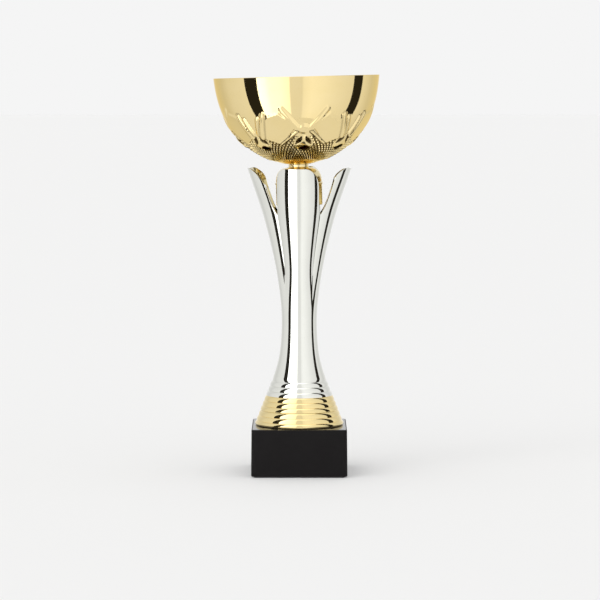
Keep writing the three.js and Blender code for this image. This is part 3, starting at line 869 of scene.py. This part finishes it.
def bowl_surface(arcs, lift_scale, net_share, inward):
    """Rows of points over the bowl's side, raised by the pattern and moved inward, and their share of
    painted shade.
    """
    azimuths = np.arange(BOWL_COLUMNS) * 360 / BOWL_COLUMNS
    arc, azimuth = np.meshgrid(arcs, azimuths, indexing="ij")
    pattern = Pattern(azimuth, arc)
    lift = pattern.total(net_share) * lift_scale - inward
    height = height_at(arc)
    radius = np.interp(arc, fine_arc, fine_radii)
    step = 0.05
    rise = (height_at(arc + step) - height_at(arc - step))
    spread = np.interp(arc + step, fine_arc, fine_radii) - np.interp(arc - step, fine_arc, fine_radii)
    size = np.hypot(rise, spread)
    out, down = rise / size, -spread / size
    radius = radius + lift * out
    height = height + lift * down
    turn = np.radians(azimuth - 90)
    points = np.stack([radius * np.cos(turn), radius * np.sin(turn), BOWL_SEAT + height], axis=-1)
    return points, pattern.painted_shade * (inward == 0)


def bowl_ring(radius, height):
    turn = np.radians(np.arange(BOWL_COLUMNS) * 360 / BOWL_COLUMNS - 90)
    flat = np.full(BOWL_COLUMNS, height)
    return np.stack([radius * np.cos(turn), radius * np.sin(turn), flat], axis=-1)[None]


def bowl():
    """Thin plated sheet with a pressed pattern, inside and out, a plain upper part and a smoothed rim."""
    net_foot, net_head, pattern_top, rim = arc_at(NET_BOTTOM), arc_at(24.5), arc_at(50.0), fine_arc[-1]
    outside = np.concatenate([
        np.linspace(0.4, net_foot, 12)[:-1],
        np.linspace(net_foot, net_head, 80)[:-1],
        np.linspace(net_head, pattern_top, 36)[:-1],
        np.linspace(pattern_top, rim - 0.4, 10),
    ])
    inside = np.concatenate([
        np.linspace(rim - 0.4, pattern_top, 6)[:-1],
        np.linspace(pattern_top, net_head, 12)[:-1],
        np.linspace(net_head, 2.0, 12),
    ])
    rim_rows = []
    for angle in np.radians(np.linspace(20, 160, 5)):
        radius = BOWL_RADIUS - BOWL_WALL / 2 + BOWL_WALL / 2 * math.cos(angle)
        rim_rows.append(bowl_ring(radius, BOWL_SEAT + BOWL_HEIGHT - BOWL_WALL / 2 * (1 - math.sin(angle))))
    side, painted_shade = bowl_surface(outside, 1.0, 1.0, 0.0)
    lining, _ = bowl_surface(inside, 0.6, 0.0, BOWL_WALL)
    rows = np.concatenate([
        bowl_ring(HOLE_RADIUS, BOWL_SEAT),
        bowl_ring(BOWL_FLAT - 0.5, BOWL_SEAT),
        side,
        *rim_rows,
        lining,
        bowl_ring(BOWL_FLAT - 0.5, BOWL_SEAT + BOWL_WALL),
        bowl_ring(HOLE_RADIUS, BOWL_SEAT + BOWL_WALL),
    ])
    # painted shade and painted dark reflection, only on the outside rows of the pattern
    shares = np.zeros(rows.shape[:2])
    shares[2 : 2 + len(painted_shade)] = painted_shade
    faces = grid_faces(len(rows), BOWL_COLUMNS, close_rows=True, close_columns=True)
    piece = new_piece("bowl_piece", rows.reshape(-1, 3), faces, 45, shares)
    lean(piece)
    return finished(piece, gold_plate, "gold_plate", "bowl")


bowl()

# ---------------------------------------------------------------- fasteners in the bowl


def ring_piece(name, outer, bottom, thickness, edge, material, slot):
    """A flat ring round the bolt, with rounded edges."""
    inner = HOLE_RADIUS
    top = bottom + thickness
    outline = [
        *arc_points((outer - edge, bottom + edge), edge, -90, 0, 3),
        *arc_points((outer - edge, top - edge), edge, 0, 90, 3),
        *arc_points((inner + edge, top - edge), edge, 90, 180, 3),
        *arc_points((inner + edge, bottom + edge), edge, 180, 270, 3),
    ]
    return finished(lean(turned(name + "_piece", outline, 72)), material, slot, name)


def hexagon_radius(angle, across_flats):
    """Radius of a hexagon at an angle."""
    return across_flats / 2 / np.cos((angle + math.pi / 6) % (math.pi / 3) - math.pi / 6)


def bowl_bolt():
    """A hexagon head with a turned chamfer on a threaded shank."""
    steps = 96
    angle = np.arange(steps) * 2 * math.pi / steps
    hexagon = hexagon_radius(angle, NUT_ACROSS_FLATS)
    top = BOLT_HEAD_BOTTOM + BOLT_HEAD_HEIGHT
    corner = hexagon.max()
    rows = []

    def row(radius, height):
        radius = np.broadcast_to(radius, angle.shape)
        height = np.broadcast_to(height, angle.shape)
        rows.append(np.stack([radius * np.cos(angle), radius * np.sin(angle), height], axis=-1))

    row(0.01, top)
    row(NUT_ACROSS_FLATS / 2 * 0.93, top)
    chamfer = (hexagon - NUT_ACROSS_FLATS / 2 * 0.93) * math.tan(math.radians(30))
    row(hexagon, top - chamfer)
    row(hexagon, BOLT_HEAD_BOTTOM + 0.2 + (hexagon - hexagon.min()) * 0.2)
    row(corner * 0.86, BOLT_HEAD_BOTTOM)
    row(THREAD_RADIUS, BOLT_HEAD_BOTTOM)
    pitch, crest = 1.0, 0.3
    turns = int((BOLT_HEAD_BOTTOM - BOLT_TIP - 2) / pitch)
    for level in range(turns * 6):
        start = BOLT_HEAD_BOTTOM - 1 - level * pitch / 6
        phase = (start / pitch - angle / (2 * math.pi)) % 1
        row(THREAD_RADIUS - crest * (1 - np.abs(2 * phase - 1)), start)
    row(THREAD_RADIUS - 0.6, BOLT_TIP)
    row(0.01, BOLT_TIP)
    faces = grid_faces(len(rows), steps, close_columns=True)
    last = (len(rows) - 1) * steps
    faces.append(tuple(range(steps)))
    faces.append(tuple(range(last, last + steps)))
    piece = new_piece("bowl_bolt_piece", np.concatenate(rows), faces, 25)
    return finished(lean(piece), zinc_steel, "zinc_steel", "bowl_bolt")


ring_piece("bowl_gasket", GASKET_RADIUS, GASKET_BOTTOM, GASKET_THICKNESS, 0.2, red_fibre, "fibre")
ring_piece(
    "bowl_washer", BOWL_WASHER_RADIUS, BOWL_WASHER_BOTTOM, WASHER_THICKNESS, 0.3, zinc_steel, "zinc_steel"
)
bowl_bolt()

# The pieces that stay as the CAD made them are hidden inside the stack or under the block.
for node, material in {
    "base_pad": black_felt,
    "base_washer": zinc_steel,
    "base_lock_washer": zinc_steel,
    "base_nut": zinc_steel,
    "tie_rod": zinc_steel,
    "stem_washer": zinc_steel,
    "coupling_nut": zinc_steel,
}.items():
    mesh = frame["nodes"][node].data
    mesh.materials.clear()
    mesh.materials.append(material)

# ---------------------------------------------------------------- stage

BACKDROP = 0.913
FLOOR_HALF = 30.0
TABLE_RADIUS = 0.3  # how far the floor reaches in reflections; past it they show the soft boxes


def floor_material(name, colour):
    """White, with a little light of its own so that the shadow stays as faint as in a white studio."""
    material = bpy.data.materials.new(name)
    material.use_nodes = True
    n = Nodes(material.node_tree)
    diffuse = n.add("ShaderNodeBsdfDiffuse", {"Color": (*colour, 1)})
    glow = n.add("ShaderNodeEmission", {"Color": (BACKDROP, BACKDROP, BACKDROP, 1), "Strength": 1.0})
    shader = n.add("ShaderNodeMixShader", {0: 0.15, 1: diffuse.outputs[0], 2: glow.outputs[0]})
    n.add("ShaderNodeOutputMaterial", {"Surface": shader.outputs[0]})
    return material


def floor(name, reach, sides, material):
    """A flat polygon on the ground."""
    angle = np.arange(sides) * 2 * math.pi / sides + math.pi / sides
    points = np.column_stack([reach * np.cos(angle), reach * np.sin(angle), np.zeros(sides)])
    mesh = bpy.data.meshes.new(name)
    mesh.from_pydata([tuple(p) for p in points], [], [tuple(range(sides))])
    piece = bpy.data.objects.new(name, mesh)
    bpy.context.scene.collection.objects.link(piece)
    mesh.materials.append(material)
    return piece


def flag(name, azimuth, distance, width, height):
    """A narrow black card that only reflections see, as the ones that put dark lines in polished metal."""
    turn = math.radians(azimuth)
    out = Vector((math.sin(turn), -math.cos(turn), 0))
    side = Vector((math.cos(turn), math.sin(turn), 0)) * width / 2
    foot, up = out * distance - Vector((0, 0, height)), Vector((0, 0, 2 * height))
    mesh = bpy.data.meshes.new(name)
    mesh.from_pydata([foot - side, foot + side, foot + side + up, foot - side + up], [], [(0, 1, 2, 3)])
    piece = bpy.data.objects.new(name, mesh)
    bpy.context.scene.collection.objects.link(piece)
    piece.visible_camera = False
    piece.visible_diffuse = False
    piece.visible_shadow = False
    material = bpy.data.materials.new(name)
    material.use_nodes = True
    n = Nodes(material.node_tree)
    shader = n.add("ShaderNodeEmission", {"Color": (0.02, 0.018, 0.014, 1), "Strength": 1.0})
    n.add("ShaderNodeOutputMaterial", {"Surface": shader.outputs[0]})
    mesh.materials.append(material)


def world():
    """Soft boxes and pale walls round the object, by direction; the camera sees the plain backdrop."""
    made = bpy.data.worlds.new("studio")
    bpy.context.scene.world = made
    made.use_nodes = True
    n = Nodes(made.node_tree)
    direction = n.add("ShaderNodeTexCoord").outputs["Generated"]
    split = n.add("ShaderNodeSeparateXYZ", {0: direction})
    x, y, z = split.outputs
    back = n.math("MULTIPLY", y, -1.0)
    azimuth = n.math("ARCTAN2", x, back)
    turn = n.math("MULTIPLY_ADD", azimuth, 0.5 / math.pi, 0.5)
    levels = [
        (-180, 0.95), (-165, 0.88), (-150, 0.76), (-130, 0.68), (-112, 0.78), (-80, 0.84),
        (-62, 1.6), (-56, 2.4), (-46, 2.1), (-40, 1.75), (-24, 1.6), (-16, 1.45), (-10, 1.3), (-8.5, 0.85),
        (8.5, 0.83), (10.5, 0.97), (22, 1.04), (40, 0.99), (60, 0.9), (85, 0.82), (110, 0.83), (130, 0.7),
        (150, 0.78), (165, 0.9), (180, 0.95),
    ]
    stops = [((a + 180) / 360, (v / 3, v / 3, v / 3)) for a, v in levels]
    walls = n.ramp(turn, stops)
    up = n.math("ARCSINE", z)
    ceiling = n.add(
        "ShaderNodeMapRange",
        {"Value": up, "From Min": math.radians(55), "From Max": math.radians(80)},
        interpolation_type="SMOOTHSTEP",
    )
    mixed = n.add("ShaderNodeMix", data_type="RGBA")
    n.tree.links.new(ceiling.outputs[0], mixed.inputs["Factor"])
    n.tree.links.new(walls, mixed.inputs[6])
    mixed.inputs[7].default_value = (0.5, 0.5, 0.5, 1)
    seen = n.add("ShaderNodeBackground", {"Color": (BACKDROP, BACKDROP, BACKDROP, 1), "Strength": 1.0})
    light = n.add("ShaderNodeBackground", {"Color": mixed.outputs[2], "Strength": 3.0})
    ray = n.add("ShaderNodeLightPath").outputs["Is Camera Ray"]
    both = n.add("ShaderNodeMixShader", {0: ray, 1: light.outputs[0], 2: seen.outputs[0]})
    n.add("ShaderNodeOutputWorld", {"Surface": both.outputs[0]})


def camera():
    data = bpy.data.cameras.new("camera")
    data.lens = 165.26
    data.sensor_width = 36
    data.clip_end = 100
    piece = bpy.data.objects.new("camera", data)
    bpy.context.scene.collection.objects.link(piece)
    piece.location = (0.0006, -2.3, 0.332)
    aim = Vector((0.0006, 0, 0.1447))
    piece.rotation_euler = (aim - piece.location).to_track_quat("-Z", "Y").to_euler()
    bpy.context.scene.camera = piece


wide_floor = floor("floor", FLOOR_HALF, 4, floor_material("floor", (0.833, 0.832, 0.828)))
wide_floor.visible_glossy = False
table = floor("table", TABLE_RADIUS, 64, floor_material("table", (0.95, 0.945, 0.93)))
table.visible_camera = False
table.visible_diffuse = False
table.visible_shadow = False
flag("flag_left", -66, 1.2, 0.42, 2.6)
flag("flag_right", 95, 1.2, 0.37, 2.6)
world()
camera()
scene = bpy.context.scene
scene.view_settings.view_transform = "Standard"
scene.view_settings.look = "None"
